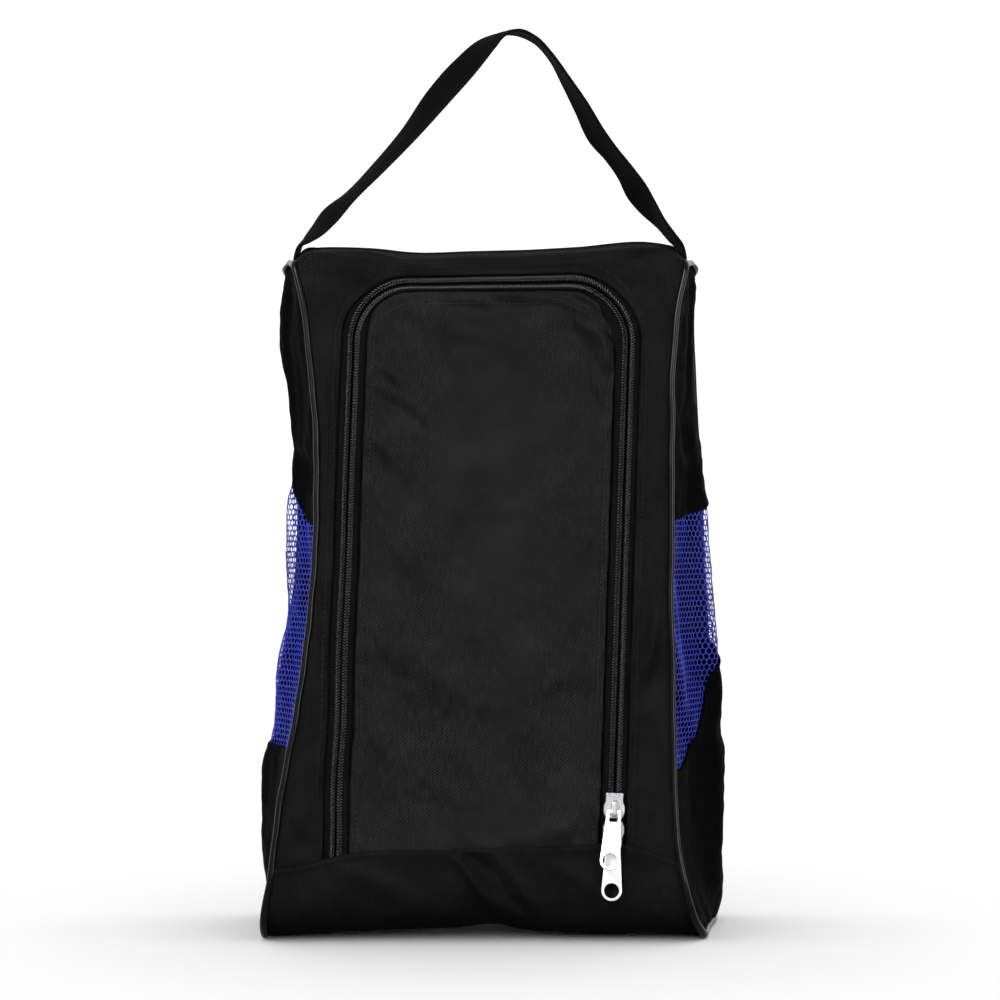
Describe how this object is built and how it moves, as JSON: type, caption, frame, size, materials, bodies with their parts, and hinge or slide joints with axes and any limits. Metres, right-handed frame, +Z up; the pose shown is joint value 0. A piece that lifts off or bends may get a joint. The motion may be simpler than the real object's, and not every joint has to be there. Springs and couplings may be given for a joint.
{
  "type": "golf shoe bag",
  "caption": "Soft zipped shoe bag that tapers to its top, with piped mesh side windows, a two-slider arched front zipper and a webbing carry handle.",
  "frame": {"origin": "middle of the flat base, on the surface that the bag stands on", "axes": "+Z up towards the handle, -Y the front with the zipped flap, +X to the right as seen from the front"},
  "size_m": [0.2442, 0.1348, 0.4629],
  "materials": {
    "black_polyester": "black twill polyester, slight sheen",
    "blue_mesh": "royal blue hexagonal warp-knit mesh",
    "piping_vinyl": "glossy black covered piping",
    "cord_filler": "white filler cord inside the piping",
    "zipper_tape": "black woven zipper tape",
    "zipper_coil": "black nylon coil",
    "bright_zinc": "bright nickel-plated zinc",
    "webbing": "black polyester webbing",
    "binding_tape": "black seam binding"
  },
  "bodies": {
    "bag": {"front_panel": "black_polyester", "bottom_panel": "black_polyester", "back_panel": "black_polyester", "ridge_seam_binding": "binding_tape", "left_side_upper": "black_polyester", "left_side_mesh": "blue_mesh", "left_side_lower": "black_polyester", "left_seam_binding": "binding_tape", "left_piping": "piping_vinyl", "left_piping_cord": "cord_filler", "right_side_upper": "black_polyester", "right_side_mesh": "blue_mesh", "right_side_lower": "black_polyester", "right_seam_binding": "binding_tape", "right_piping": "piping_vinyl", "right_piping_cord": "cord_filler", "front_zipper_tape": "zipper_tape", "front_zipper_coil": "zipper_coil", "flap_foot": "black_polyester", "flap_zipper_tape_foot": "zipper_tape", "flap_zipper_coil_foot": "zipper_coil", "left_handle_end": "webbing", "right_handle_end": "webbing"},
    "flap": {"flap": "black_polyester", "flap_zipper_tape": "zipper_tape", "flap_zipper_coil": "zipper_coil"},
    "lower_slider": {"lower_slider_body": "bright_zinc", "lower_slider_crown": "bright_zinc"},
    "lower_pull": {"lower_pull_tab": "bright_zinc"},
    "upper_slider": {"upper_slider_body": "bright_zinc", "upper_slider_crown": "bright_zinc"},
    "upper_pull": {"upper_pull_tab": "bright_zinc"},
    "handle": {"handle_strap": "webbing"}
  },
  "joints": [
    {"name": "flap_fold", "type": "hinge", "parent": "bag", "child": "flap", "pos_m": [0, -0.05599, 0.08212], "axis": [1, 0, 0], "range_deg": [0, 100]},
    {"name": "lower_slider_travel", "type": "slide", "parent": "bag", "child": "lower_slider", "axis": [0.0353, 0.0994, 0.9944], "range_m": [0, 0.1]},
    {"name": "upper_slider_travel", "type": "slide", "parent": "lower_slider", "child": "upper_slider", "axis": [0.0353, 0.0994, 0.9944], "range_m": [0, 0.12]},
    {"name": "upper_pull_swing", "type": "hinge", "parent": "upper_slider", "child": "upper_pull", "pos_m": [0.06163, -0.05995, 0.06565], "axis": [-0.9849, 0.1698, 0.0326], "range_deg": [0, 148]},
    {"name": "lower_pull_swing", "type": "hinge", "parent": "lower_slider", "child": "lower_pull", "pos_m": [0.06114, -0.06134, 0.05173], "axis": [-0.9984, 0.0453, 0.0353], "range_deg": [0, 140.6]},
    {"name": "handle_swing", "type": "hinge", "parent": "bag", "child": "handle", "pos_m": [0, 0, 0.361], "axis": [1, 0, 0], "range_deg": [-100, 100]}
  ],
  "couplings": [
    {"joint": "lower_pull_swing", "follows": "upper_pull_swing", "ratio": 0.95}
  ]
}
